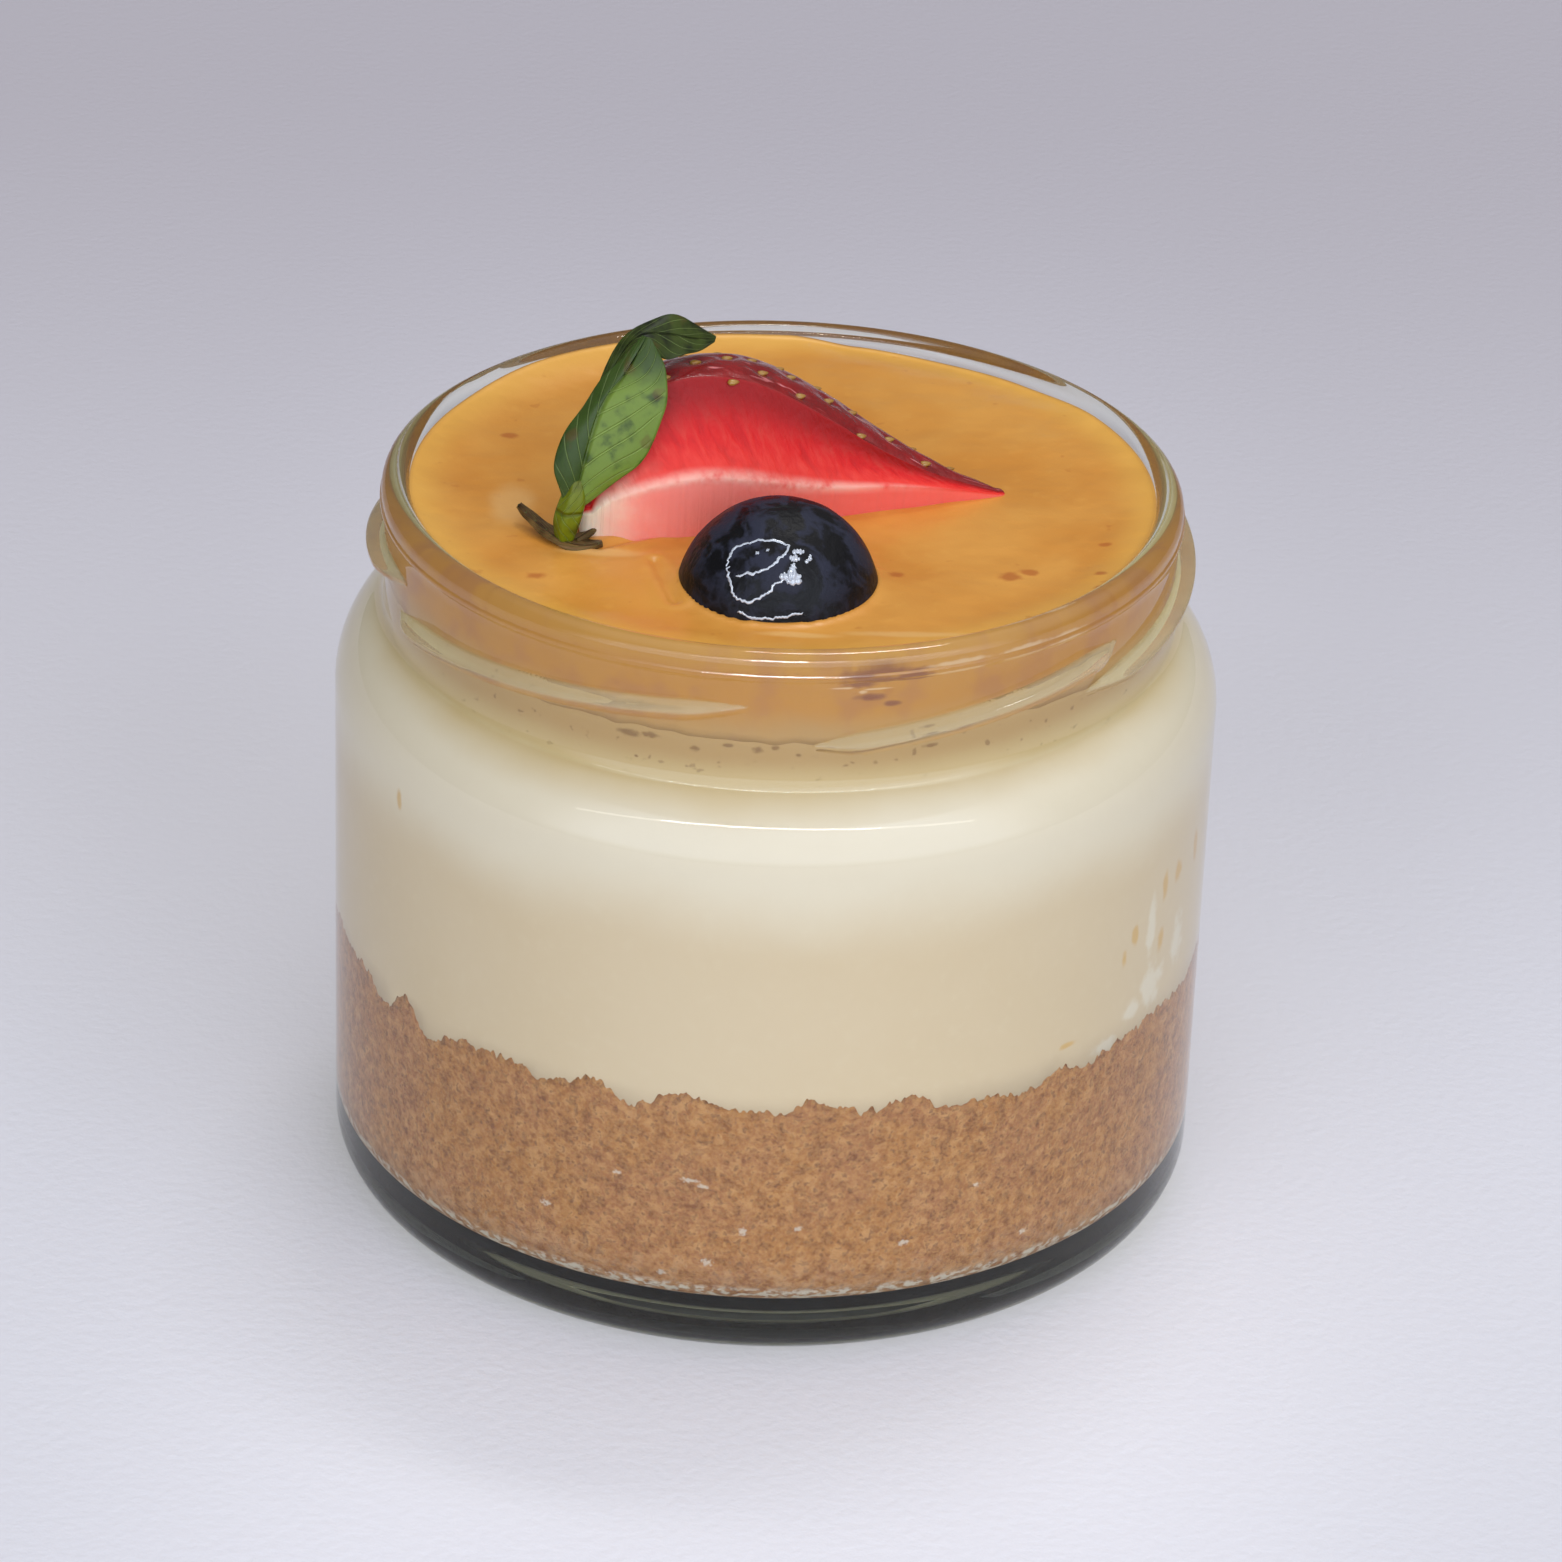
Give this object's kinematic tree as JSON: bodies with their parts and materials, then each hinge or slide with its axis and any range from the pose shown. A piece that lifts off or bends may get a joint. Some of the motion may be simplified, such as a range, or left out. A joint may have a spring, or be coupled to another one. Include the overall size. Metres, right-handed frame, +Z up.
{
  "type": "cheesecake jar",
  "caption": "Layered cheesecake in a squat screw-neck glass jar: crumb base, cream and caramel, topped with a cut strawberry and a blueberry.",
  "frame": {"origin": "middle of the jar's foot, on the surface it stands on", "axes": "+Z up along the jar's axis, -Y towards the side where the blueberry lies and the strawberry's cut face looks, +X towards the strawberry's tip"},
  "size_m": [0.0868, 0.0868, 0.0919],
  "materials": {
    "jar_glass": "clear, smooth, faintly green",
    "crumb": "matt, coarse, pressed biscuit crumb",
    "cream": "smooth, satin",
    "caramel": "soft gloss",
    "strawberry": "wet gloss",
    "leaf": "satin",
    "blueberry": "gloss under a light bloom"
  },
  "bodies": {
    "root": {"glass_jar": "jar_glass", "crumb_base": "crumb", "cheesecake_cream": "cream", "caramel_topping": "caramel", "strawberry_wedge": "strawberry", "strawberry_calyx": "leaf", "blueberry": "blueberry"}
  },
  "joints": []
}
